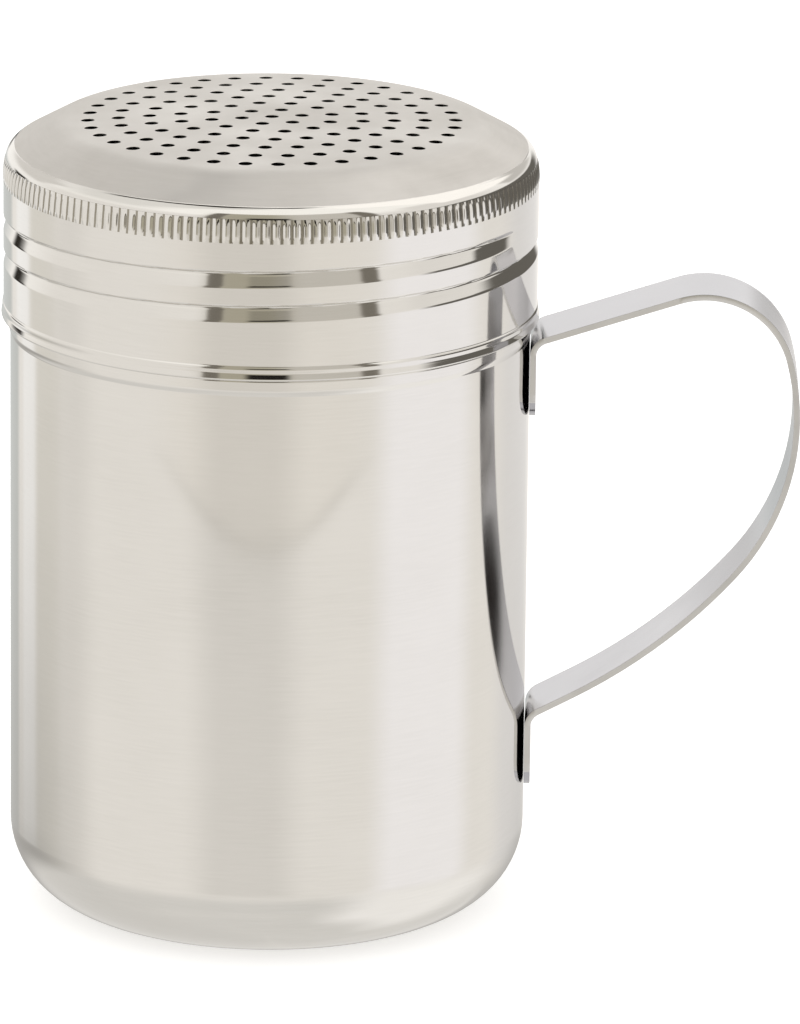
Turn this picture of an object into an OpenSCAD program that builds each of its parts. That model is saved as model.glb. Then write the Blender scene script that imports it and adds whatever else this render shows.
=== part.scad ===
// Spice shaker: a drawn steel cup with a strap handle, closed by a perforated screw lid.
// Millimetres. The Z axis is the cup's axis, Z = 0 is the table and +X is the handle's side.

/* [Cup] */
// Outside diameter of the cup's straight wall
cup_d = 68.2; // [60:0.2:76]
// Height of the straight wall, from the table up to the bead
wall_h = 77.5; // [66:0.5:90]
// Thickness of the steel sheet of the cup and the lid
sheet_t = 0.5; // [0.4:0.05:0.7]
// Outside radius of the turn from the wall into the flat base
base_corner_r = 11; // [6:0.5:14]
// How far the neck is rolled in from the wall
neck_step = 0.4; // [0.2:0.05:0.7]

/* [Bead] */
// Outside radius of the stiffening bead between the wall and the neck
bead_r = 1; // [0.8:0.05:1.2]
// Radius that blends the bead into the wall and the neck
bead_blend = 0.4; // [0.3:0.05:0.6]
// How far the bead stands out from the wall
bead_out = 0.2; // [0.1:0.05:0.4]

/* [Lid] */
// Height of the plain and threaded skirt, from the hem's foot to the knurled band
skirt_h = 18; // [16:0.5:24]
// Gap between the lid's hem and the bead when the lid is closed
seat_gap = 0.4; // [0.3:0.05:0.8]
// Height of the folded hem round the lid's mouth
hem_h = 2; // [1.4:0.1:3]
// How far the hem stands out from the skirt
hem_out = 0.35; // [0.2:0.05:0.45]
// Outside radius of the lid's rim, over the knurled band
rim_r = 1.2; // [0.8:0.1:2]
// Slope of the shoulder between the rim and the crown
shoulder_slope = 29; // [20:1:36]
// Width of the shoulder, measured along the radius
shoulder_w = 8.5; // [7:0.1:10]
// Radius that blends the shoulder into the crown
knee_r = 6; // [3:0.5:8]
// How much the perforated crown is domed
crown_rise = 0.6; // [0.3:0.1:1.5]
// Gap between the cup's lip and the underside of the shoulder when the lid is closed
lip_gap = 0.3; // [0.2:0.05:0.5]

/* [Knurled band] */
// Height of the finger grip under the rim
knurl_h = 3.1; // [2:0.1:5]
// Distance from one ridge to the next, round the lid
knurl_pitch = 1.3; // [1.1:0.1:2.4]
// Depth of the grooves between the ridges
knurl_depth = 0.2; // [0.1:0.02:0.26]
// How far the ridges stand out from the skirt
knurl_out = 0.1; // [0.06:0.02:0.2]

/* [Shaker holes] */
// Diameter of one hole
hole_d = 1.8; // [1:0.1:2.6]
// Distance from one ring of holes to the next
hole_pitch = 4; // [3.4:0.1:4.2]
// Number of rings round the centre hole
hole_rings = 6; // [3:1:6]
// Turn of the hole pattern about the axis
hole_turn = 14; // [0:1:59]

/* [Thread] */
// Rise of the rolled thread in one turn
thread_pitch = 4.5; // [4.5:0.1:6]
// Length of the thread, in turns
thread_turns = 1.75; // [1.25:0.125:2]
// Height of the thread's ridge
thread_h = 0.55; // [0.45:0.05:0.6]
// Width of the flat on top of the ridge
thread_crest_w = 1.7; // [1:0.1:1.7]
// Radial gap between the neck's ridge and the lid's wall
thread_gap = 0.25; // [0.2:0.01:0.3]
// Gap between the flanks that pull the lid down, measured along the axis
flank_play = 0.25; // [0.2:0.01:0.25]
// Distance from the knurled band down to the thread's upper end
thread_drop = 3.8; // [3:0.1:5]
// Direction of the thread's upper end, from the handle's side
thread_start = -33; // [-180:1:180]

/* [Handle] */
// Width of the strap
strap_w = 11.5; // [8:0.5:14]
// Thickness of the strap
strap_t = 0.8; // [0.6:0.1:1.2]
// Distance from the bead down to the upper foot's bend
handle_drop = 1.7; // [1.5:0.1:4]
// Length of each foot that is spot-welded to the cup
foot_len = 8.7; // [6:0.1:10]
// Corner radius of each foot's end
foot_corner_r = 3.5; // [1:0.5:3.5]
// Bend radius between a foot and its arm, at the middle of the strap
foot_bend_r = 2.3; // [1.6:0.1:3]
// Rise of the upper arm from the horizontal
arm_rise = 18; // [8:1:28]
// Length of the straight upper arm
arm_run = 18.2; // [15:0.1:22]
// Radius of the bend at the top of the grip
grip_top_r = 11.5; // [9:0.5:13]
// Downward angle at which the top bend ends
grip_top_end = 75; // [68:1:80]
// Radius of the grip's back
grip_back_r = 32; // [27:0.5:33]
// Downward angle at which the back ends, counted past the vertical
grip_back_end = 131; // [127:1:134]
// Radius of the lower arm's long curve
grip_low_r = 74; // [60:1:90]
// Downward angle of the straight stretch that leads to the lower foot
grip_low_end = 152; // [148:1:153]
// Film between the middle of a foot and the cup, which the spot welds close
weld_gap = 0.05; // [0.02:0.01:0.1]

/* [Hidden] */

$fn = 180;
// Largest turn between two points of an arc
arc_step = 7.5;
// Thread sections in one turn, and the number of them over which each end fades out
thread_steps = 48;
fade_steps = 6;
// Share of its height that a faded thread end keeps, hidden inside the sheet
fade_end = 0.1;
// Overrun of a cut past a face
over = 0.4;

cup_r = cup_d / 2;
neck_r = cup_r - neck_step;

bead_span = bead_r + bead_blend;
bead_foot_angle = acos(1 - bead_out / bead_span);
bead_top_angle = acos(cos(bead_foot_angle) - neck_step / bead_span);
bead_h = bead_span * (sin(bead_foot_angle) + sin(bead_top_angle));

hem_z = wall_h + bead_h + seat_gap;
hem_top = hem_z + hem_h;
knurl_z = hem_z + skirt_h;
lid_wall_top = knurl_z + knurl_h;

lid_in_r = neck_r + thread_h + thread_gap;
lid_r = lid_in_r + sheet_t;
knurl_bed_r = lid_r - knurl_depth;

// The lip's round edge is centred in the neck's sheet, and lies lip_gap under the shoulder
lip_x = neck_r - sheet_t / 2;
lip_reach = rim_r - sheet_t - sheet_t / 2 - lip_gap;
lip_rise = (lip_reach - (lip_x - lid_r + rim_r) * sin(shoulder_slope)) / cos(shoulder_slope);
neck_h = lid_wall_top + lip_rise - wall_h - bead_h;

crown_r = lid_r - shoulder_w;
crown_sphere_r = (pow(crown_r, 2) + pow(crown_rise, 2)) / (2 * crown_rise);
crown_angle = asin(crown_r / crown_sphere_r);
rim_w = rim_r * (1 - sin(shoulder_slope));
knee_w = knee_r * (sin(shoulder_slope) - sin(crown_angle));
shoulder_run = (shoulder_w - rim_w - knee_w) / cos(shoulder_slope);

thread_top = knurl_z - thread_drop;
// The flanks lean at 45 degrees, so the hollow behind a crest is narrower than the crest
hollow_w = thread_crest_w - 2 * sheet_t * tan(22.5);
// The neck's ridge lies above the lid's by one crest, the shared height of the flanks and the play
neck_thread_top = thread_top + thread_crest_w + thread_h - thread_gap + flank_play;

foot_x = cup_r + weld_gap + strap_t / 2;
foot_z = wall_h - handle_drop - foot_len;

// ---- Outlines: a point is [x, y, heading], a stretch is [length] or [bend radius, turn to the left] ----

function bent(p, r, turn) =
    let (side = sign(turn), h = p[2] + turn)
    [p[0] + side * r * (sin(h) - sin(p[2])), p[1] - side * r * (cos(h) - cos(p[2])), h];

function along(p, s) =
    len(s) == 1
        ? [[p[0] + s[0] * cos(p[2]), p[1] + s[0] * sin(p[2]), p[2]]]
        : let (n = max(2, ceil(abs(s[1]) / arc_step)))
          [for (i = [1:n]) bent(p, s[0], s[1] * i / n)];

function walk(p, stretches, i = 0) =
    i == len(stretches)
        ? [p]
        : let (next = along(p, stretches[i]), n = len(next) - 1)
          concat([p], [for (k = [0:1:n - 1]) next[k]], walk(next[n], stretches, i + 1));

// The path moved sideways by d, to its left; a point beside the axis is put on it
function beside(path, d = 0) =
    [for (p = path) let (x = p[0] - d * sin(p[2])) [abs(x) < 0.001 ? 0 : x, p[1] + d * cos(p[2])]];

function backwards(list) = [for (i = [len(list) - 1:-1:0]) list[i]];

function last(list) = list[len(list) - 1];

// A wall of thickness t whose right side is the path
function wall_outline(path, t) = concat(beside(path), backwards(beside(path, t)));

// ---- Thread: a bar of trapezoid section on a right-hand helix, faded out at both ends ----

function fade(i, n) = max(fade_end, min(1, i / fade_steps, (n - i) / fade_steps));

module thread_bar(base_r, crest_r, crest_w, top_z) {
    n = round(thread_turns * thread_steps);
    side = sign(crest_r - base_r);
    reach = abs(crest_r - base_r);
    points = [
        for (i = [0:n])
            let (a = thread_start - i * 360 / thread_steps)
            let (z = top_z - i * thread_pitch / thread_steps)
            let (r = base_r + side * reach * fade(i, n))
            let (w = crest_w / 2 + reach * (1 - fade(i, n)))
            for (q = [[base_r, -crest_w / 2 - reach], [base_r, crest_w / 2 + reach], [r, w], [r, -w]])
                [q[0] * cos(a), q[0] * sin(a), z + q[1]]
    ];
    skin = [
        for (i = [0:n - 1], k = [0:3])
            let (a = 4 * i + k, b = 4 * i + (k + 1) % 4)
            for (f = [[a, b, b + 4], [a, b + 4, a + 4]]) f
    ];
    ends = [[2, 1, 0], [3, 2, 0], [4 * n, 4 * n + 1, 4 * n + 2], [4 * n, 4 * n + 2, 4 * n + 3]];
    faces = concat(skin, ends);
    polyhedron(points, side > 0 ? faces : [for (f = faces) [f[2], f[1], f[0]]]);
}

// ---- Cup ----

cup_path = walk([0, 0, 0], [
    [cup_r - base_corner_r],
    [base_corner_r, 90],
    [wall_h - base_corner_r],
    [bead_blend, -bead_foot_angle],
    [bead_r, bead_foot_angle + bead_top_angle],
    [bead_blend, -bead_top_angle],
    [neck_h]
]);

module cup() {
    lip = along(last(cup_path), [sheet_t / 2, 180]);
    outline = concat(beside(cup_path), beside(lip), backwards(beside(cup_path, sheet_t)));
    color("#cfcac2")
        difference() {
            union() {
                rotate_extrude() polygon(outline);
                thread_bar(neck_r - sheet_t / 2, neck_r + thread_h, thread_crest_w, neck_thread_top);
            }
            thread_bar(neck_r - sheet_t - over, neck_r + thread_h - sheet_t, hollow_w, neck_thread_top);
        }
}

// ---- Handle: a bent strap with a rounded foot at each end ----

arm_path = walk([foot_x, foot_z, 90], [
    [foot_len],
    [foot_bend_r, arm_rise - 90],
    [arm_run],
    [grip_top_r, -arm_rise - grip_top_end],
    [grip_back_r, grip_top_end - grip_back_end],
    [grip_low_r, grip_back_end - grip_low_end]
]);
low_turn = grip_low_end - 90;
low_run = (last(arm_path)[0] - foot_x - foot_bend_r * (1 - sin(grip_low_end))) / -cos(grip_low_end);
low_path = walk(last(arm_path), [[low_run], [foot_bend_r, low_turn], [foot_len]]);
strap_path = concat(arm_path, [for (i = [1:len(low_path) - 1]) low_path[i]]);

module foot_corners(z) {
    for (flip = [0, 1])
        mirror([0, flip, 0])
            translate([foot_x - strap_t, strap_w / 2 - foot_corner_r, z])
                difference() {
                    translate([0, 0, -over]) cube([2 * strap_t, foot_corner_r + over, foot_corner_r + over]);
                    translate([-over, 0, foot_corner_r])
                        rotate([0, 90, 0])
                            cylinder(r = foot_corner_r, h = 2 * (strap_t + over));
                }
}

module handle() {
    outline = concat(beside(strap_path, strap_t / 2), backwards(beside(strap_path, -strap_t / 2)));
    color("#d4d4d6")
        difference() {
            rotate([90, 0, 0]) linear_extrude(strap_w, center = true) polygon(outline);
            foot_corners(foot_z);
            foot_corners(last(strap_path)[1]);
        }
}

// ---- Lid ----

lid_path = walk([lid_r, hem_top, 90], [
    [lid_wall_top - hem_top],
    [rim_r, 90 - shoulder_slope],
    [shoulder_run],
    [knee_r, shoulder_slope - crown_angle],
    [crown_sphere_r, crown_angle]
]);

module knurled_ring() {
    teeth = round(2 * PI * lid_r / knurl_pitch);
    crest_r = lid_r + knurl_out;
    zigzag = [
        for (i = [0:2 * teeth - 1])
            let (r = crest_r - (i % 2) * knurl_depth, a = i * 180 / teeth)
            [r * cos(a), r * sin(a)]
    ];
    translate([0, 0, knurl_z])
        linear_extrude(knurl_h)
            difference() {
                polygon(zigzag);
                circle(r = (lid_in_r + knurl_bed_r) / 2);
            }
}

module knurl_recess() {
    translate([0, 0, knurl_z])
        difference() {
            cylinder(r = lid_r + over, h = knurl_h);
            translate([0, 0, -over]) cylinder(r = knurl_bed_r, h = knurl_h + 2 * over);
        }
}

module shaker_holes() {
    top = last(lid_path)[1];
    for (ring = [0:hole_rings], i = [0:max(0, 6 * ring - 1)])
        rotate([0, 0, hole_turn + i * 60 / max(1, ring)])
            translate([ring * hole_pitch, 0, top - crown_rise - 2 * sheet_t])
                cylinder(d = hole_d, h = crown_rise + 2 * sheet_t + over, $fn = 24);
}

module lid() {
    color("#c9c5be")
        difference() {
            union() {
                difference() {
                    rotate_extrude() polygon(wall_outline(lid_path, sheet_t));
                    knurl_recess();
                }
                knurled_ring();
                thread_bar(lid_r - sheet_t / 2, lid_in_r - thread_h, thread_crest_w, thread_top);
            }
            thread_bar(lid_r + over, lid_r - thread_h, hollow_w, thread_top);
            shaker_holes();
        }
}

module lid_hem() {
    path = walk([lid_in_r, hem_z, 0], [
        [sheet_t],
        [hem_out, 90],
        [hem_h - 2 * hem_out],
        [hem_out, 90],
        [sheet_t]
    ]);
    color("#d0ccc6") rotate_extrude() polygon(beside(path));
}

cup();
handle();
lid();
lid_hem();
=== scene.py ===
# %% [markdown]
# # A steel spice shaker
#
# The real shaker is three pieces: a drawn cup, a strap handle that is spot-welded to it, and a
# screw lid with a perforated crown. All of them are thin stainless steel sheet, so nearly
# everything that the eye sees is a reflection. The scene therefore has two halves: shapes with
# clean, even curves, and studio surroundings for the steel to mirror.
#
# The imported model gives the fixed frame. Every piece below is drawn in that frame, in
# millimetres, and `MM` turns a length into Blender's metres.

# %% Load the frame
import math

import bpy
from mathutils import Matrix, Vector


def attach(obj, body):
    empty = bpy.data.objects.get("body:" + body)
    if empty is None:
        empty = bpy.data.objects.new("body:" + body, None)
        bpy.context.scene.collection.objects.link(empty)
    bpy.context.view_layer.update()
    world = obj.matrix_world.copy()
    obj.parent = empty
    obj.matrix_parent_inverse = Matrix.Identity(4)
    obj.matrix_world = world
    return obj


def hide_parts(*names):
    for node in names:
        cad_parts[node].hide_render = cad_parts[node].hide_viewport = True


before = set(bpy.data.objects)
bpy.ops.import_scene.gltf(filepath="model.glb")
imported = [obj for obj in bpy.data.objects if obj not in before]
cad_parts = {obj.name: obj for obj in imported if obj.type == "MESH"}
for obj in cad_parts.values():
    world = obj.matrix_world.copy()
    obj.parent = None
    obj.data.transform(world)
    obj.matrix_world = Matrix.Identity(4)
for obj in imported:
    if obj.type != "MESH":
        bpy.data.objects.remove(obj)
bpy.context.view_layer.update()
MM = 0.001

# %% [markdown]
# ## The camera
#
# The photograph was taken from a little over a metre away with a long lens, looking down by
# sixteen degrees. The place, the angles and the focal length come from matching the rim, the
# bead, the rings of holes and the base of the cup. A long lens keeps the sides of the cup almost
# parallel.

# %% Camera
FOCAL_PIXELS = 9000
FRAME_HEIGHT_PIXELS = 1024
SENSOR_MM = 36
CAMERA_AT = (39.8, -1141.1, 380.7)
CAMERA_HEADING = 1.13
CAMERA_DOWN = 16.03
CAMERA_ROLL = 0.66

turns = (
    Matrix.Rotation(math.radians(CAMERA_HEADING), 4, "Z")
    @ Matrix.Rotation(math.radians(90 - CAMERA_DOWN), 4, "X")
    @ Matrix.Rotation(math.radians(CAMERA_ROLL), 4, "Z")
)
bpy.ops.object.camera_add(
    location=[value * MM for value in CAMERA_AT], rotation=turns.to_euler()
)
camera = bpy.context.object
camera.name = "camera"
camera.data.sensor_width = SENSOR_MM
camera.data.lens = FOCAL_PIXELS / FRAME_HEIGHT_PIXELS * SENSOR_MM
camera.data.clip_end = 20
bpy.context.scene.camera = camera
bpy.context.scene.view_settings.view_transform = "Standard"
print("lens", round(camera.data.lens, 1), "mm")

# %% [markdown]
# ## Helpers for colours and nodes
#
# Colours are written as the hex values of a paint picker and turned to the linear values that a
# shader wants. One small function adds any shader node with its settings and links.


# %% Colour and node helpers
def linear(hex_colour):
    """A paint picker's #rrggbb as a linear colour with alpha."""
    channels = [int(hex_colour[i : i + 2], 16) / 255 for i in (1, 3, 5)]
    curved = [c / 12.92 if c <= 0.04045 else ((c + 0.055) / 1.055) ** 2.4 for c in channels]
    return (*curved, 1.0)


def add_node(tree, kind, settings=None, links=None):
    """Adds a node. Settings are socket values or properties, links are source sockets."""
    node = tree.nodes.new("ShaderNode" + kind)
    for key, value in (settings or {}).items():
        if isinstance(key, int) or key in node.inputs:
            node.inputs[key].default_value = value
        else:
            setattr(node, key, value)
    for key, source in (links or {}).items():
        socket = source.outputs[0] if hasattr(source, "outputs") else source
        tree.links.new(socket, node.inputs[key])
    return node


def math_node(tree, operation, *values):
    """A Math node whose inputs are numbers or sources."""
    numbers = {i: v for i, v in enumerate(values) if isinstance(v, (int, float))}
    sources = {i: v for i, v in enumerate(values) if not isinstance(v, (int, float))}
    return add_node(tree, "Math", {"operation": operation, **numbers}, sources)


print("white is", [round(c, 3) for c in linear("#ffffff")])

# %% [markdown]
# ## The studio
#
# Polished steel has no colour of its own to speak of: it shows the room. In a product studio such
# an object stands on a white table, ringed by white boards, soft boxes and a few dark flags, and
# every stripe on the cup is one of them. They could be real planes and lamps round the object.
# Here the world plays those boards instead, because a world can be painted by compass direction
# and height, and a board in it has soft edges and no noise. Only mirror rays see the boards. All
# other light is an even white.

# %% Studio surroundings
BOARD_LIGHT = 1.5

# Each board: bearing and half its width, height above the horizon and half its height, softness
# of its sides and of its top and bottom, all in degrees, and its grey. Bearings count from the
# camera's side, positive to the right. A later board stands in front of an earlier one.
BOARDS = [
    # The table's far parts, seen by what faces down
    (0, 181, -80, 26, 5, 10, "#c7c5c2"),
    (0, 181, -44, 12, 5, 8, "#c7c5c2"),
    (88, 42, -46, 20, 20, 8, "#e2e0de"),
    # What the upright walls mirror: a flag, a bright slit and another flag at the left, a soft
    # shade in front, a bright board at the right, and a shade low down at the left
    (-162, 15, -15, 12, 3, 5, "#b2b4b2"),
    (-132, 8, -15, 12, 3, 5, "#e2e1e0"),
    (-114, 11, -15, 12, 4, 5, "#cbc8c2"),
    (-96, 10, -15, 12, 8, 5, "#cfccc8"),
    (-8, 20, -15, 12, 10, 5, "#cac7c3"),
    (77, 24, -15, 12, 8, 5, "#e2e0e1"),
    (146, 20, -15, 12, 10, 5, "#cdcbca"),
    (-155, 52, -26, 8.5, 28, 3.2, "#9a9895"),
    (-125, 50, -54, 27, 35, 5, "#c3c1be"),
    # Higher up: a white ceiling that is dimmer at the left, a pale board behind, a grey one at
    # the right, and two more greys that the rim of the lid shows at its far ends
    (0, 181, 62, 36, 5, 10, "#ebe9e5"),
    (-115, 55, 62, 30, 15, 10, "#d2d0cc"),
    (180, 66, 18, 24, 14, 6, "#e4e2df"),
    (85, 20, 24, 14, 6, 6, "#d2cfcb"),
    (146, 18, 21, 10, 3, 5, "#b6b3af"),
    (-140, 22, 26, 13, 4, 5, "#c6c3bf"),
    # The dark floor of the room beyond the table's edge, at the right and at the far left
    (118, 46, -2, 9.5, 6, 1.5, "#5c5954"),
    (-134, 7, -3, 3.5, 3, 2, "#2a2723"),
    (-172, 7, -3, 3, 3, 2, "#3a3733"),
    # The camera's side: a tan gap between the boards with dark edges, and a black lens
    (11, 37, 20, 28, 1, 3, "#b6b2ab"),
    (-8, 16, 20, 28, 9, 3, "#9d9889"),
    (-23, 3.5, 20, 28, 1, 3, "#6a655d"),
    (45, 4, 20, 28, 1.5, 3, "#6d6860"),
    (1, 9, 13, 7, 2, 3, "#1c1916"),
    # A large soft box high at the back right, and unlit ceiling high at the back left
    (118, 32, 51, 25, 3, 3, "#f6f3ef"),
    (-168, 34, 65, 13, 4, 3, "#2a2521"),
]

world = bpy.data.worlds.new("studio boards")
bpy.context.scene.world = world
world.use_nodes = True
sky = world.node_tree
sky.nodes.clear()
looking = add_node(sky, "SeparateXYZ", links={0: add_node(sky, "TexCoord").outputs["Generated"]})
towards_camera = math_node(sky, "MULTIPLY", looking.outputs["Y"], -1.0)
bearing = math_node(sky, "ARCTAN2", looking.outputs["X"], towards_camera)
height = math_node(sky, "ARCSINE", looking.outputs["Z"])


def within(angle, middle, half, soft):
    """One where an angle is within half of the middle, going softly to zero outside."""
    away = math_node(sky, "SUBTRACT", angle, math.radians(middle))
    around = math_node(sky, "ABSOLUTE", math_node(sky, "WRAP", away, math.pi, -math.pi))
    ends = {1: math.radians(half + soft), 2: math.radians(half - soft)}
    return add_node(sky, "MapRange", {"interpolation_type": "SMOOTHSTEP", **ends}, {0: around})


def place_board(behind, middle, half_width, level, half_height, side_soft, top_soft, colour):
    """Puts one board in front of the colours behind it."""
    across = within(bearing, middle, half_width, side_soft)
    upright = within(height, level, half_height, top_soft)
    covered = math_node(sky, "MULTIPLY", across, upright)
    tone = {"data_type": "RGBA", 7: linear(colour)}
    return add_node(sky, "Mix", tone, {0: covered, 6: behind}).outputs[2]


room = add_node(sky, "RGB")
room.outputs[0].default_value = linear("#d7d4d0")
surroundings = room.outputs[0]
for board in BOARDS:
    surroundings = place_board(surroundings, *board)
mirrored = add_node(sky, "Background", {"Strength": BOARD_LIGHT}, {"Color": surroundings})
plain = add_node(sky, "Background", {"Color": linear("#ffffff"), "Strength": 1.0})
ray = add_node(sky, "LightPath")
lit = add_node(sky, "MixShader", links={0: ray.outputs["Is Glossy Ray"], 1: plain, 2: mirrored})
add_node(sky, "OutputWorld", links={"Surface": lit})
print("boards round the object:", len(BOARDS))

# %% [markdown]
# ## The table
#
# The shaker stands on a sheet of matt white laminate. For the camera alone a little light is
# added to its colour, so that it is as white as the background of the photograph and still
# keeps the shadow. The table stays out of the mirror, so that the stripes of the boards run
# straight down the cup as they do in the photograph.

# %% Table
TABLE_SIZE = 8
TABLE_LIFT = 0.45

bpy.ops.object.select_all(action="DESELECT")
bpy.ops.mesh.primitive_plane_add(size=TABLE_SIZE, location=(0, 0, 0))
table = bpy.context.object
table.name = "table"
bpy.ops.object.mode_set(mode="EDIT")
bpy.ops.mesh.subdivide(number_cuts=4)
bpy.ops.object.mode_set(mode="OBJECT")
table.visible_glossy = False
table_white = bpy.data.materials.new("matt white table laminate")
table_white.use_nodes = True
tree = table_white.node_tree
tree.nodes.clear()
matt = add_node(tree, "BsdfDiffuse", {"Color": linear("#f4f3f1")})
lift = add_node(tree, "Emission", {"Color": linear("#ffffff"), "Strength": TABLE_LIFT})
seen = add_node(tree, "LightPath")
seen_lift = add_node(tree, "MixShader", links={0: seen.outputs["Is Camera Ray"], 2: lift})
both = add_node(tree, "AddShader", links={0: matt, 1: seen_lift})
add_node(tree, "OutputMaterial", links={"Surface": both})
table.data.materials.append(table_white)
print("table", [round(side, 1) for side in table.dimensions[:2]], "m")

# %% [markdown]
# ## The card under the shaker
#
# The photograph shows a faint rounded V on the front of the cup. It is the mirror image of an edge
# that lay on the table: the shaker stood on a white card with rounded corners. Only its front edge
# and the slightly darker table beyond it are made, as a clear film that only mirrors can see. A
# line this fine would be blurred away in the world, because polished steel blurs what is far off
# more than what is near.
# The film paints a darker reflection of that edge and of the table onto the cup.

# %% Card edge
CARD_HALF_X, CARD_HALF_Y, CARD_SQUARENESS = 0.260, 0.226, 3.1
# The cut edge of the card, and how far the table beyond it reaches, as widenings of the outline
CUT_EDGE, TABLE_REACH = 1.03, 3.5
CARD_THICK = 0.1
# Faces nearer than this, in metres, and smaller than this, in square metres, are the cut edge
CUT_NEAR, CUT_SMALL = 0.4, 0.0004
# The film goes this many degrees to either side of the camera, and fades over the last of them
CARD_ANGLE, CARD_FADE = 54, 26


def clear_film(name, tint):
    """A see-through film that dims what is mirrored through it, and fades out to both sides."""
    material = bpy.data.materials.new(name)
    material.use_nodes = True
    tree = material.node_tree
    tree.nodes.clear()
    place = add_node(tree, "SeparateXYZ", links={0: add_node(tree, "TexCoord").outputs["Object"]})
    forwards = math_node(tree, "MULTIPLY", place.outputs["Y"], -1.0)
    aside = math_node(tree, "ABSOLUTE", math_node(tree, "ARCTAN2", place.outputs["X"], forwards))
    ends = {1: math.radians(CARD_ANGLE - CARD_FADE), 2: math.radians(CARD_ANGLE)}
    fade = add_node(tree, "MapRange", {"interpolation_type": "SMOOTHSTEP", **ends}, {0: aside})
    tone = {"data_type": "RGBA", 6: linear(tint), 7: linear("#ffffff")}
    faded = add_node(tree, "Mix", tone, {0: fade}).outputs[2]
    film = add_node(tree, "BsdfTransparent", links={"Color": faded})
    add_node(tree, "OutputMaterial", links={"Surface": film})
    return material


bpy.ops.object.select_all(action="DESELECT")
bpy.ops.mesh.primitive_circle_add(vertices=128, radius=1)
card = bpy.context.object
card.name = "card_edge"
bpy.ops.object.mode_set(mode="EDIT")
bpy.ops.mesh.select_all(action="SELECT")
for widen in (CUT_EDGE, TABLE_REACH):
    bpy.ops.mesh.extrude_region_move()
    bpy.ops.transform.resize(value=(widen, widen, 1), center_override=(0, 0, 0))
bpy.ops.object.mode_set(mode="OBJECT")
for vertex in card.data.vertices:
    x, y = vertex.co.xy
    power = 2 / CARD_SQUARENESS
    reach = math.hypot(x, y)
    along, across = x / reach, y / reach
    x = math.copysign(abs(along) ** power, along) * reach * CARD_HALF_X
    y = math.copysign(abs(across) ** power, across) * reach * CARD_HALF_Y
    vertex.co = (x, y, CARD_THICK * MM)
# Painted reflection: the shaded cut edge of the card, and laminate a little darker than it
card.data.materials.append(clear_film("shaded edge of white card", "#e9e8e6"))
card.data.materials.append(clear_film("painted reflection of the table beyond the card", "#fcfbf9"))
# Painted reflection: faces at the cut edge get the darker tint
for face in card.data.polygons:
    at_cut = face.center.xy.length < CUT_NEAR and face.area < CUT_SMALL
    face.material_index = 0 if at_cut else 1
    face.select = abs(math.degrees(math.atan2(face.center.x, -face.center.y))) > CARD_ANGLE
bpy.ops.object.mode_set(mode="EDIT")
bpy.ops.mesh.select_mode(type="FACE")
bpy.ops.mesh.delete(type="FACE")
bpy.ops.mesh.select_mode(type="VERT")
bpy.ops.object.mode_set(mode="OBJECT")
for seen_by in ("camera", "diffuse", "transmission", "volume_scatter", "shadow"):
    setattr(card, "visible_" + seen_by, False)
cut_faces = [face for face in card.data.polygons if face.material_index == 0]
print("card faces", len(card.data.polygons), "of them on its cut edge", len(cut_faces))

# %% [markdown]
# ## Polished and satin steel
#
# The sheet is grade 304 stainless steel. The cup and the skirt of the lid are buffed on a wheel
# while they turn, so they mirror the room, with faint lines running round them and a slow
# waviness left by the drawing press. The crown of the lid was only rubbed with a fine abrasive
# pad, which leaves a satin that blurs everything. The strap is cut from polished strip, and its
# sheared edges stay rough and pale. The grooves of the knurl get a brownish, duller steel as
# painted shade. Each finish is the same metal with another roughness and another fine relief, so
# one function makes them all. A picture of scratches could do the same, but noise in real
# millimetres needs no file and fits every piece.


# %% Steel finishes
def steel(name, colour, shade, roughness, line_mm, line_relief, wave_relief, around):
    """A stainless steel with lines of line_mm round the Z axis, or along X, and slow waves."""
    material = bpy.data.materials.new(name)
    material.use_nodes = True
    tree = material.node_tree
    tree.nodes.clear()
    place = add_node(tree, "TexCoord").outputs["Object"]
    # The noise is drawn out to lines that are twenty times as long as they are wide
    stretch = (0.05, 0.05, 1.0) if around else (0.05, 1.0, 0.05)
    scale = [value / (line_mm * MM) for value in stretch]
    fine = add_node(tree, "Mapping", {"Scale": scale}, {"Vector": place})
    lines = add_node(
        tree, "TexNoise", {"Scale": 1.0, "Detail": 3.0, "Roughness": 0.6}, {"Vector": fine}
    )
    # Waves about 30 mm long, and cloudy wear about 12 mm across
    waves = add_node(tree, "TexNoise", {"Scale": 32.0, "Detail": 1.0}, {"Vector": place})
    wear = add_node(tree, "TexNoise", {"Scale": 80.0, "Detail": 4.0}, {"Vector": place})
    tint = add_node(
        tree,
        "Mix",
        {"data_type": "RGBA", 6: linear(colour), 7: linear(shade)},
        {0: math_node(tree, "MULTIPLY", lines, wear)},
    )
    rough = add_node(
        tree,
        "MapRange",
        {1: 0.3, 2: 0.7, 3: roughness * 0.8, 4: roughness * 1.25},
        {0: wear},
    )
    bump_lines = add_node(
        tree, "Bump", {"Strength": 1.0, "Distance": line_relief * MM}, {"Height": lines}
    )
    bump_waves = add_node(
        tree,
        "Bump",
        {"Strength": 1.0, "Distance": wave_relief * MM},
        {"Height": waves, "Normal": bump_lines},
    )
    shader = add_node(
        tree,
        "BsdfPrincipled",
        {"Metallic": 1.0},
        {"Base Color": tint.outputs[2], "Roughness": rough, "Normal": bump_waves},
    )
    add_node(tree, "OutputMaterial", links={"Surface": shader})
    return material


# Warm grey mirror: sheet buffed on a wheel
buffed_steel = steel(
    "wheel-buffed 304 steel", "#dedcd8", "#d2d0cb", 0.07, 0.25, 0.0004, 0.02, around=True
)
# Soft grey blur: rubbed with a fine pad, which leaves grain about 0.3 mm wide
satin_steel = steel(
    "pad-rubbed satin 304 steel", "#dad7d3", "#cac7c2", 0.58, 0.3, 0.004, 0.02, around=True
)
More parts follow.
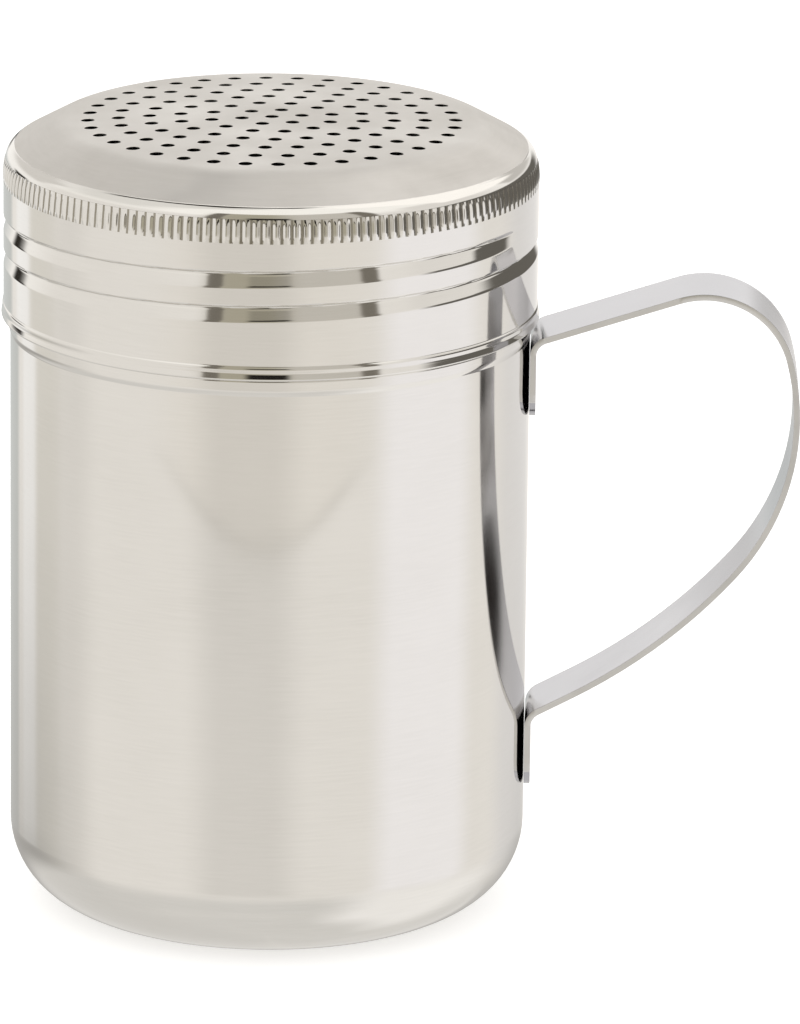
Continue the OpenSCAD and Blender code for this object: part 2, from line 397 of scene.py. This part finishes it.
# Cooler and a little duller than the cup: strip from the rolling mill
strip_steel = steel(
    "mill-polished steel strip", "#bbbbc0", "#b0b0b5", 0.16, 0.3, 0.001, 0.02, around=False
)
# Sheared edge of the strip: torn and then tumbled metal, pale and dull
sheared_steel = steel(
    "sheared strip edge", "#dedddb", "#c3c2bf", 0.4, 0.15, 0.004, 0.0, around=False
)
# Brownish and duller: painted shade in the bottoms of the knurl's grooves
groove_shade_steel = steel(
    "painted shade in the knurl's grooves", "#a39e92", "#857f74", 0.35, 0.3, 0.001, 0.0, around=True
)
print("finishes", [m.name for m in bpy.data.materials])

# %% [markdown]
# ## Drawing a profile and turning it
#
# The cup and the lid are round, so each is drawn once as half of its cross-section and spun
# round the axis, as a metal spinner would form it on a lathe. A small plane merged to one point
# starts the drawing. `draw_line` extrudes that point straight on and `draw_bend` spins it along
# an arc, and both remember the place and the heading like a pen. The drawing covers the outer
# and the inner face of the sheet, so the spun shape is a closed wall of even thickness.


# %% Drawing helpers
def start_drawing(name, x, z, heading):
    """Starts a piece as one selected point; returns it and the pen [x, z, heading]."""
    bpy.ops.object.select_all(action="DESELECT")
    bpy.ops.mesh.primitive_plane_add(size=MM)
    piece = bpy.context.object
    piece.name = name
    bpy.ops.object.mode_set(mode="EDIT")
    bpy.ops.mesh.select_all(action="SELECT")
    bpy.ops.mesh.merge(type="CENTER")
    bpy.ops.transform.translate(value=(x * MM, 0, z * MM))
    return piece, [x, z, heading]


def draw_line(pen, length, step=3.0):
    """Extrudes the last point straight on, in equal steps no longer than step."""
    count = max(1, math.ceil(length / step - 0.001))
    heading = math.radians(pen[2])
    part = (math.cos(heading) * length / count, 0, math.sin(heading) * length / count)
    for _ in range(count):
        move = {"value": [value * MM for value in part]}
        bpy.ops.mesh.extrude_region_move(TRANSFORM_OT_translate=move)
    pen[0] += part[0] * count
    pen[1] += part[2] * count


def draw_bend(pen, radius, turn, step=6.0):
    """Spins the last point along an arc; a positive turn is to the left."""
    side = math.copysign(1, turn)
    heading = math.radians(pen[2])
    centre = (
        pen[0] - side * radius * math.sin(heading),
        pen[1] + side * radius * math.cos(heading),
    )
    bpy.ops.mesh.spin(
        steps=max(2, math.ceil(abs(turn) / step)),
        angle=math.radians(turn),
        center=(centre[0] * MM, 0, centre[1] * MM),
        axis=(0, 1, 0),
    )
    pen[2] += turn
    heading = math.radians(pen[2])
    pen[0] = centre[0] + side * radius * math.sin(heading)
    pen[1] = centre[1] - side * radius * math.cos(heading)


ROUND_STEPS = 240
WELD = 0.0005 * MM


def close_skin():
    """Merges doubles, turns the faces outwards and leaves edit mode."""
    bpy.ops.mesh.select_all(action="SELECT")
    bpy.ops.mesh.remove_doubles(threshold=WELD)
    bpy.ops.mesh.normals_make_consistent(inside=False)
    bpy.ops.object.mode_set(mode="OBJECT")


def turn_drawing():
    """Spins the drawn profile once round the Z axis into a closed skin."""
    bpy.ops.mesh.select_all(action="SELECT")
    bpy.ops.mesh.spin(steps=ROUND_STEPS, angle=math.tau, center=(0, 0, 0), axis=(0, 0, 1))
    close_skin()


def use_modifier(piece, kind, **settings):
    """Adds one modifier and applies it."""
    bpy.ops.object.select_all(action="DESELECT")
    piece.select_set(True)
    bpy.context.view_layer.objects.active = piece
    modifier = piece.modifiers.new(kind.lower(), kind)
    for key, value in settings.items():
        setattr(modifier, key, value)
    bpy.ops.object.modifier_apply(modifier=modifier.name)


def shade_smoothly(piece, angle=30):
    """Smooth shading up to an angle; large faces then set the normals at their edges."""
    bpy.ops.object.select_all(action="DESELECT")
    piece.select_set(True)
    bpy.context.view_layer.objects.active = piece
    bpy.ops.object.shade_smooth_by_angle(angle=math.radians(angle))
    use_modifier(piece, "WEIGHTED_NORMAL", keep_sharp=True)
    print(piece.name, len(piece.data.polygons), "faces")


def dress(piece, body, slot, nodes, *materials):
    """Gives a finished piece its metal, its body and the CAD nodes that it stands for."""
    piece.data.materials.clear()
    for material in materials:
        piece.data.materials.append(material)
    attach(piece, body)
    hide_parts(*nodes)


# %% [markdown]
# ## The rolled thread
#
# The thread is rolled into the finished sheet: a narrow wheel presses a right-hand helix into
# the lid from outside, and another presses the neck of the cup outwards from inside. The sheet
# only moves, so both of its faces move together. A swept bar joined to the wall would leave a
# hard foot and a doubled wall, and no mesh operator rolls a helix, so the points of the fine rows
# are pushed along the radius by a drawn section, whose height fades away at both ends of the
# helix.

# %% Thread helper
THREAD_PITCH = 4.5
THREAD_TURNS = 1.78
THREAD_HEIGHT = 0.55
THREAD_START = -22
LID_THREAD_TOP = 94.11
NECK_THREAD_TOP = 96.36
THREAD_FADE = 0.06
THREAD_ZONE = (84.6, 95.6)


def soft_step(value):
    """Goes smoothly from 0 to 1 as value does."""
    value = min(1, max(0, value))
    return value * value * (3 - 2 * value)


def roll_thread(piece, near, far, top, depth, rows):
    """Pushes the wall between two radii by depth along the helix.

    The section runs through rows of (height above the helix, share of the depth)."""
    moved = 0
    for vertex in piece.data.vertices:
        x, y, z = vertex.co / MM
        radius = math.hypot(x, y)
        if not near <= radius <= far:
            continue
        start = ((THREAD_START - math.degrees(math.atan2(y, x))) % 360) / 360
        push = 0
        for turn in (start, start + 1):
            off = z - top + turn * THREAD_PITCH
            if turn > THREAD_TURNS or not rows[0][0] < off < rows[-1][0]:
                continue
            ends = soft_step(turn / THREAD_FADE) * soft_step((THREAD_TURNS - turn) / THREAD_FADE)
            for (low, share), (high, next_share) in zip(rows, rows[1:]):
                if low <= off <= high:
                    part = (off - low) / (high - low)
                    push = max(push, ends * (share + (next_share - share) * part))
        if push > 0:
            grow = 1 + depth * push / radius
            vertex.co = (x * grow * MM, y * grow * MM, z * MM)
            moved += 1
    print(piece.name, "thread points", moved)


# %% [markdown]
# ## The cup
#
# The cup is drawn from one disc of sheet half a millimetre thick: a flat base, a wide rounded
# corner, a straight wall, a small bead that stiffens it and a neck for the thread. A cylinder
# could be hollowed out and bevelled, but drawn bends give exact radii and an even sheet. The
# profile starts at the middle of the base, goes up the outside, over the rounded lip and down the
# inside.

# %% Cup
CUP_R = 34.1
SHEET = 0.5
BASE_CORNER = 11
WALL_TOP = 77.5
BEAD_SWELL, BEAD_CREASE, BEAD_FOOT = 2.0, 0.4, 23.556
BEAD_FACE = 0.942
BEAD_EDGE, BEAD_BLEND, BEAD_TOP = 0.55, 0.85, 55.150
NECK_HEIGHT = 20.69
NECK_ROW = 0.3

cup, pen = start_drawing("cup_shell", 0, 0, 0)
draw_line(pen, CUP_R - BASE_CORNER, 4)
draw_bend(pen, BASE_CORNER, 90, 5)
draw_line(pen, WALL_TOP - BASE_CORNER)
draw_bend(pen, BEAD_CREASE, -BEAD_FOOT)
draw_bend(pen, BEAD_SWELL, BEAD_FOOT, 3)
draw_line(pen, BEAD_FACE)
draw_bend(pen, BEAD_EDGE, BEAD_TOP)
draw_bend(pen, BEAD_BLEND, -BEAD_TOP)
draw_line(pen, NECK_HEIGHT, NECK_ROW)
draw_bend(pen, SHEET / 2, 180, 30)
draw_line(pen, NECK_HEIGHT, NECK_ROW)
draw_bend(pen, BEAD_BLEND + SHEET, BEAD_TOP)
draw_bend(pen, BEAD_EDGE - SHEET, -BEAD_TOP)
draw_line(pen, BEAD_FACE)
draw_bend(pen, BEAD_SWELL - SHEET, -BEAD_FOOT, 3)
draw_bend(pen, BEAD_CREASE + SHEET, BEAD_FOOT)
draw_line(pen, WALL_TOP - BASE_CORNER)
draw_bend(pen, BASE_CORNER - SHEET, -90, 5)
draw_line(pen, CUP_R - BASE_CORNER, 4)
print("the pen ends on the axis at", [round(value, 3) for value in pen])
turn_drawing()

# The neck's thread is a rounded wave. Only the neck's wall lies between these two radii.
NECK_WALL = (33.15, 33.75)
NECK_SECTION = [(-1.25, 0), (-0.95, 0.2), (-0.6, 0.8), (-0.35, 1)]
NECK_SECTION += [(-height, share) for height, share in reversed(NECK_SECTION)]
roll_thread(cup, *NECK_WALL, NECK_THREAD_TOP, THREAD_HEIGHT, NECK_SECTION)
shade_smoothly(cup)
dress(cup, "cup_with_handle", "polished_steel", ["cup"], buffed_steel)

# %% [markdown]
# ## The handle
#
# The handle is a strip of steel bent into an open loop, with both ends turned to lie flat on the
# cup, where two spot welds hold each of them. The path is drawn in side view like the profiles,
# then stretched sideways into a ribbon. The columns of the ribbon stand where they are needed to
# round the corners of its ends: the last point of each column slides back along the ribbon by the
# drop of a quarter circle. Solidify gives the strip its thickness and a small bevel takes off the
# sharp edges, as tumbling does after shearing. The faces that the shears cut get the duller metal.

# %% Handle
STRAP_W = 11.5
STRAP_T = 0.8
FOOT_CORNER = 3.5
FOOT_X = CUP_R + 0.05 + STRAP_T / 2
FOOT_LOW = 67.1
FOOT_LENGTH = 8.7
FOOT_BEND = 2.3
ARM_RISE, ARM_RUN = 18, 18.2
# The loop's three bends: each radius, and the downward angle at which the bend ends
LOOP_TOP_R, LOOP_TOP_END = 11.5, 75
LOOP_BACK_R, LOOP_BACK_END = 32, 131
LOOP_LOW_R, LOOP_LOW_END = 74, 152
EDGE_ROUND = 0.12

strap, pen = start_drawing("handle_strap", FOOT_X, FOOT_LOW, 90)
draw_line(pen, FOOT_CORNER, FOOT_CORNER)
draw_line(pen, FOOT_LENGTH - FOOT_CORNER)
draw_bend(pen, FOOT_BEND, ARM_RISE - 90)
draw_line(pen, ARM_RUN)
draw_bend(pen, LOOP_TOP_R, -ARM_RISE - LOOP_TOP_END, 3)
draw_bend(pen, LOOP_BACK_R, LOOP_TOP_END - LOOP_BACK_END, 3)
draw_bend(pen, LOOP_LOW_R, LOOP_BACK_END - LOOP_LOW_END, 2)
# The straight lower arm goes on until the foot's bend brings the strap to the cup
bend_width = FOOT_BEND * (1 - math.sin(math.radians(LOOP_LOW_END)))
low_run = (pen[0] - FOOT_X - bend_width) / math.cos(math.radians(180 - LOOP_LOW_END))
draw_line(pen, low_run)
draw_bend(pen, FOOT_BEND, LOOP_LOW_END - 90)
draw_line(pen, FOOT_LENGTH - FOOT_CORNER)
draw_line(pen, FOOT_CORNER, FOOT_CORNER)
low_end = pen[1]
print("low run", round(low_run, 2), "the lower foot ends at height", round(low_end, 2))

half = STRAP_W / 2
inner = half - FOOT_CORNER
corner_steps = [inner + FOOT_CORNER * math.sin(math.radians(a)) for a in (18, 36, 54, 72, 90)]
columns = [-value for value in reversed(corner_steps)] + [-inner, 0, inner] + corner_steps
bpy.ops.mesh.select_all(action="SELECT")
bpy.ops.transform.translate(value=(0, columns[0] * MM, 0))
for last, following in zip(columns, columns[1:]):
    move = {"value": (0, (following - last) * MM, 0)}
    bpy.ops.mesh.extrude_region_move(TRANSFORM_OT_translate=move)
bpy.ops.object.mode_set(mode="OBJECT")
for vertex in strap.data.vertices:
    x, y, z = vertex.co / MM
    beyond = max(0, abs(y) - inner)
    drop = FOOT_CORNER - math.sqrt(max(0, FOOT_CORNER**2 - beyond**2))
    if abs(z - FOOT_LOW) < 0.01 or abs(z - low_end) < 0.01:
        vertex.co.z += drop * MM
bpy.ops.object.mode_set(mode="EDIT")
close_skin()
use_modifier(strap, "SOLIDIFY", thickness=STRAP_T * MM, offset=0)
use_modifier(
    strap,
    "BEVEL",
    width=EDGE_ROUND * MM,
    segments=2,
    limit_method="ANGLE",
    angle_limit=math.radians(60),
)
shade_smoothly(strap)
dress(strap, "cup_with_handle", "strap_steel", ["handle"], strip_steel, sheared_steel)
for face in strap.data.polygons:
    across = abs(face.normal.y) > 0.95
    end = abs(face.normal.z) > 0.95 and abs(face.center.x - FOOT_X * MM) < STRAP_T * MM
    face.material_index = 1 if across or end else 0

# %% [markdown]
# ## The shell of the lid
#
# The lid is also drawn from one disc. Its skirt goes straight up to a shallow bed for the knurled
# grip, which leans inwards towards its top. Then it turns over a polished rim, slopes up along a
# shoulder and ends in an almost flat crown. A fine crease parts the rim from the satin shoulder.
# The drawing starts in the middle of the crown and comes back to it along the inside of the
# sheet.

# %% Lid shell
LID_R = 35.0
LID_TOP = 106.173
HEM_TOP = 81.77
KNURL_Z, KNURL_TOP = 97.82, 100.92
KNURL_BED = 0.2
# The grip leans inwards: its face curves back by this angle from its foot to its top
GRIP_LEAN = 12
GRIP_CURVE = (KNURL_TOP - KNURL_Z) / math.sin(math.radians(GRIP_LEAN))
GRIP_TOP_R = LID_R - GRIP_CURVE * (1 - math.cos(math.radians(GRIP_LEAN)))
RIM_R = 2.0
SHOULDER = 29
CREASE, CREASE_TURN = 0.09, 35
KNEE_R = 6
CROWN_ANGLE = 2.594
CROWN_SPHERE = 585.5
LID_ROW, THREAD_ROW = 0.5, 0.12

lid, pen = start_drawing("lid_shell", 0, LID_TOP, 0)
draw_bend(pen, CROWN_SPHERE, -CROWN_ANGLE, 0.2)
draw_bend(pen, KNEE_R, CROWN_ANGLE - SHOULDER, 3)
rim_width = RIM_R * (math.cos(math.radians(GRIP_LEAN)) - math.sin(math.radians(SHOULDER)))
slope = math.cos(math.radians(SHOULDER))
draw_line(pen, (GRIP_TOP_R - rim_width - pen[0]) / slope - 2 * CREASE, 1)
SATIN_R = pen[0]
# A small crease, left where the pad stopped, parts the satin from the polished rim
draw_bend(pen, CREASE, -CREASE_TURN, 18)
draw_bend(pen, CREASE, CREASE_TURN, 18)
draw_line(pen, (GRIP_TOP_R - rim_width - pen[0]) / slope)
draw_bend(pen, RIM_R, SHOULDER - 90 + GRIP_LEAN, 3)
print("grip top", [round(value, 3) for value in pen])
# Into the bed of the grip, down along it and out again
pen[2] = 180
draw_line(pen, KNURL_BED)
pen[2] = GRIP_LEAN - 90
draw_bend(pen, GRIP_CURVE - KNURL_BED, -GRIP_LEAN, 2)
pen[2] = 0
draw_line(pen, KNURL_BED)
print("grip foot", [round(value, 3) for value in pen])
pen[2] = -90
draw_line(pen, pen[1] - THREAD_ZONE[1], LID_ROW)
draw_line(pen, THREAD_ZONE[1] - THREAD_ZONE[0], THREAD_ROW)
draw_line(pen, THREAD_ZONE[0] - HEM_TOP, LID_ROW)
pen[2] = 180
draw_line(pen, SHEET)
pen[2] = 90
draw_line(pen, THREAD_ZONE[0] - HEM_TOP, LID_ROW)
draw_line(pen, THREAD_ZONE[1] - THREAD_ZONE[0], THREAD_ROW)
draw_line(pen, KNURL_Z - THREAD_ZONE[1], LID_ROW)
draw_bend(pen, GRIP_CURVE - SHEET, GRIP_LEAN, 2)
draw_bend(pen, RIM_R - SHEET, 90 - SHOULDER - GRIP_LEAN, 8)
knee_step = math.sin(math.radians(SHOULDER)) - math.sin(math.radians(CROWN_ANGLE))
knee_top = (CROWN_SPHERE - SHEET) * math.sin(math.radians(CROWN_ANGLE))
knee_foot = knee_top + (KNEE_R - SHEET) * knee_step
draw_line(pen, (pen[0] - knee_foot) / slope, 1)
draw_bend(pen, KNEE_R - SHEET, SHOULDER - CROWN_ANGLE, 3)
draw_bend(pen, CROWN_SPHERE - SHEET, CROWN_ANGLE, 0.2)
print("the pen ends on the axis at", [round(value, 3) for value in pen])
turn_drawing()

# The lid's groove has a long lower flank, a round bottom and a short ledge above
LID_WALL = (34.45, 35.05)
LID_SECTION = [(-1.2, 0), (-1.05, 0.04), (0.35, 0.86), (0.5, 0.98)]
LID_SECTION += [(0.62, 1), (0.72, 0.9), (0.95, 0.1), (1.05, 0)]
roll_thread(lid, *LID_WALL, LID_THREAD_TOP, -THREAD_HEIGHT, LID_SECTION)

# %% [markdown]
# ## The shaker holes
#
# A press with 127 pins punches the crown in one stroke, in a centre hole and six rings. Each pin
# drags the sheet a little at its edge, so the mouth of a hole is slightly flared and catches a
# fine line of light. One pin is modelled, with a flared collar set at the face of the crown. The
# pin is copied for every hole and tilted with the crown, and one Boolean cuts them all.

# %% One pin of the press
HOLE_R = 0.9
HOLE_PITCH = 4
HOLE_RINGS = 6
HOLE_TURN = 14
FLARE = 0.09

bpy.ops.object.select_all(action="DESELECT")
bpy.ops.mesh.primitive_cylinder_add(
    vertices=24, radius=HOLE_R * MM, depth=2 * MM, location=(0, 0, -1 * MM)
)
pin = bpy.context.object
bpy.ops.object.transform_apply(location=True)
bpy.ops.object.mode_set(mode="EDIT")
bpy.ops.mesh.select_all(action="DESELECT")
bpy.ops.mesh.select_mode(type="FACE")
bpy.ops.object.mode_set(mode="OBJECT")
for face in pin.data.polygons:
    face.select = face.normal.z > 0.9
bpy.ops.object.mode_set(mode="EDIT")
bpy.ops.transform.translate(value=(0, 0, -FLARE * MM))
for widen in (FLARE / HOLE_R, FLARE / HOLE_R):
    bpy.ops.mesh.extrude_region_move(TRANSFORM_OT_translate={"value": (0, 0, FLARE * MM)})
    bpy.ops.transform.resize(value=(1 + widen, 1 + widen, 1), center_override=(0, 0, 0))
bpy.ops.mesh.extrude_region_move(TRANSFORM_OT_translate={"value": (0, 0, 1 * MM)})
bpy.ops.mesh.select_mode(type="VERT")
bpy.ops.object.mode_set(mode="OBJECT")
print("pin", [round(side / MM, 2) for side in pin.dimensions], "mm")

# %% Punch the crown
pins = []
for ring in range(HOLE_RINGS + 1):
    for place in range(max(1, 6 * ring)):
        bpy.ops.object.select_all(action="DESELECT")
        pin.select_set(True)
        bpy.context.view_layer.objects.active = pin
        bpy.ops.object.duplicate(linked=False)
        copy = bpy.context.object
        lean = math.asin(ring * HOLE_PITCH / CROWN_SPHERE)
        bearing = math.radians(HOLE_TURN + place * 60 / max(1, ring))
        centre = Vector((0, 0, LID_TOP - CROWN_SPHERE)) * MM
        tilt = Matrix.Rotation(bearing, 4, "Z") @ Matrix.Rotation(lean, 4, "Y")
        copy.matrix_world = (
            Matrix.Translation(centre) @ tilt @ Matrix.Translation((0, 0, CROWN_SPHERE * MM))
        )
        pins.append(copy)
bpy.ops.object.select_all(action="DESELECT")
for copy in pins:
    copy.select_set(True)
bpy.context.view_layer.objects.active = pins[0]
bpy.ops.object.join()
pin_plate = bpy.context.object
bpy.ops.object.transform_apply(location=True, rotation=True, scale=True)
use_modifier(lid, "BOOLEAN", operation="DIFFERENCE", solver="MANIFOLD", object=pin_plate)
bpy.data.objects.remove(pin_plate)
bpy.data.objects.remove(pin)
shade_smoothly(lid)
dress(lid, "lid_shell", "lid_steel", ["lid"], buffed_steel, satin_steel)
for face in lid.data.polygons:
    distance = math.hypot(face.center.x, face.center.y) / MM
    face.material_index = 1 if distance < SATIN_R and face.normal.z > 0.3 else 0
print("holes", len(pins))

# %% [markdown]
# ## The knurled grip
#
# Wet fingers need something to hold, so a toothed wheel rolls a band of fine upright ridges into
# the lid under its rim. The band is a ring of its own in the lid's recess: a circle with eight
# points for each of the 170 ridges is extruded upwards in rows, and the points are pushed along
# the radius by a wave that fades out at both ends of the band and leans inwards with its bed. The
# bottoms of the grooves get a darker steel, which is painted shade. A bump in the material would
# be simpler, but the ridges have to show in the outline and in the mesh.

# %% Knurled band
RIDGES = 170
RIDGE_POINTS = 8
KNURL_OUT = 0.1
KNURL_ROWS = 10
KNURL_FADE = 0.7
# How far the ring reaches into its bed, and how deep in the wave the painted shade begins
KNURL_INSIDE = 0.65
GROOVE = -0.85

bpy.ops.object.select_all(action="DESELECT")
bpy.ops.mesh.primitive_circle_add(
    vertices=RIDGES * RIDGE_POINTS, radius=LID_R * MM, location=(0, 0, KNURL_Z * MM)
)
knurl = bpy.context.object
knurl.name = "lid_knurl"
bpy.ops.object.transform_apply(location=True)
bpy.ops.object.mode_set(mode="EDIT")
bpy.ops.mesh.select_all(action="SELECT")
rise = (KNURL_TOP - KNURL_Z) / KNURL_ROWS
for _ in range(KNURL_ROWS):
    bpy.ops.mesh.extrude_region_move(TRANSFORM_OT_translate={"value": (0, 0, rise * MM)})
# In over the top, down the hidden back and out again to the foot
bed = (LID_R - KNURL_INSIDE) / LID_R
drop = {"value": (0, 0, (KNURL_Z - KNURL_TOP) * MM)}
bpy.ops.mesh.extrude_region_move()
bpy.ops.transform.resize(value=(bed, bed, 1), center_override=(0, 0, 0))
bpy.ops.mesh.extrude_region_move(TRANSFORM_OT_translate=drop)
bpy.ops.mesh.extrude_region_move()
bpy.ops.transform.resize(value=(1 / bed, 1 / bed, 1), center_override=(0, 0, 0))
close_skin()
for vertex in knurl.data.vertices:
    x, y, z = vertex.co / MM
    radius = math.hypot(x, y)
    if radius < LID_R - 0.1:
        continue
    edge = min(z - KNURL_Z, KNURL_TOP - z) / KNURL_FADE
    phase = math.atan2(y, x) * RIDGES
    lean = GRIP_CURVE - math.sqrt(GRIP_CURVE**2 - (z - KNURL_Z) ** 2)
    grow = 1 + (KNURL_OUT * math.cos(phase) * soft_step(edge) - lean) / radius
    vertex.co = (x * grow * MM, y * grow * MM, z * MM)
shade_smoothly(knurl, 50)
dress(knurl, "lid_shell", "lid_steel", ["lid"], buffed_steel, groove_shade_steel)
# Painted shade: faces at the bottoms of the grooves get the darker steel
for face in knurl.data.polygons:
    phase = math.atan2(face.center.y, face.center.x) * RIDGES
    face.material_index = 1 if math.cos(phase) < GROOVE and abs(face.normal.z) < 0.5 else 0

# %% [markdown]
# ## The hem
#
# The mouth of the lid is folded back on itself into a hem, which makes it stiff and takes away
# the sharp edge. A crease and a small swelling part it from the skirt. Then it flares out and
# rounds back in under itself. It looks the same at every turn of the lid, so it is a ring of its
# own that only lifts, while the rest of the lid turns on it.

# %% Hem
HEM_CREASE, HEM_SWELL, HEM_FLARE = 0.25, 0.8, 1.0
HEM_EDGE = 0.25
HEM_HEEL = 0.12

hem, pen = start_drawing("hem_roll", LID_R - SHEET, HEM_TOP, 0)
draw_line(pen, SHEET)
pen[2] = -90
# A crease and a small swelling, then a flare that ends in the rolled edge
draw_bend(pen, HEM_CREASE, 30)
draw_bend(pen, HEM_SWELL, -34, 4)
draw_line(pen, 0.25)
draw_bend(pen, HEM_FLARE, 18, 3)
draw_line(pen, 0.5)
draw_bend(pen, HEM_EDGE, -104, 8)
print("widest", round(pen[0] + HEM_EDGE, 3), "underside", round(pen[1], 3))
draw_line(pen, pen[0] - (LID_R - SHEET) - HEM_HEEL)
draw_bend(pen, HEM_HEEL, -90, 20)
draw_line(pen, HEM_TOP - pen[1])
turn_drawing()
shade_smoothly(hem)
dress(hem, "hem_ring", "lid_steel", ["lid_hem"], buffed_steel)
